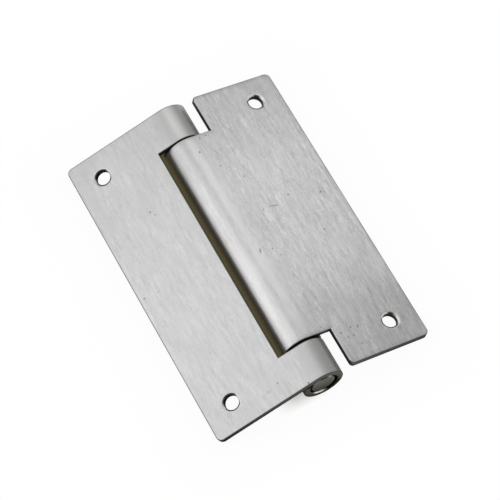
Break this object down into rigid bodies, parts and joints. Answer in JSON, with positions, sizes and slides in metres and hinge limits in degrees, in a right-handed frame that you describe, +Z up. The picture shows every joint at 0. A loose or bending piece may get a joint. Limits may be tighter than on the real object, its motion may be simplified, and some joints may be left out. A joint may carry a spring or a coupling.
{
  "type": "cabinet hinge",
  "caption": "Self-closing cabinet hinge: plain sheet leaves with screw holes, short end knuckles and a long middle barrel that hides a torsion spring.",
  "frame": {"origin": "on the pivot axis, halfway along the frame leaf", "axes": "+Y along the pivot axis towards the top knuckle, +Z up and away from the surface that the barrel lies on, +X towards the door leaf"},
  "size_m": [0.0707, 0.1018, 0.013],
  "materials": {
    "brushed_stainless": "brushed along the barrel",
    "turned_steel": "dull turned steel",
    "spring_wire": "drawn wire"
  },
  "bodies": {
    "frame_side": {"frame_leaf": "brushed_stainless", "top_plug": "turned_steel", "bottom_plug": "turned_steel", "core_pin": "turned_steel", "torsion_spring": "spring_wire"},
    "door_side": {"door_leaf": "brushed_stainless", "barrel_anchor": "turned_steel"}
  },
  "joints": [
    {"name": "door_leaf_swing", "type": "hinge", "parent": "frame_side", "child": "door_side", "pos_m": [0, 0, 0], "axis": [0, -1, 0], "range_deg": [-148, 120], "stiffness_Nm_per_rad": 0.21, "deforming": ["torsion_spring"]}
  ]
}
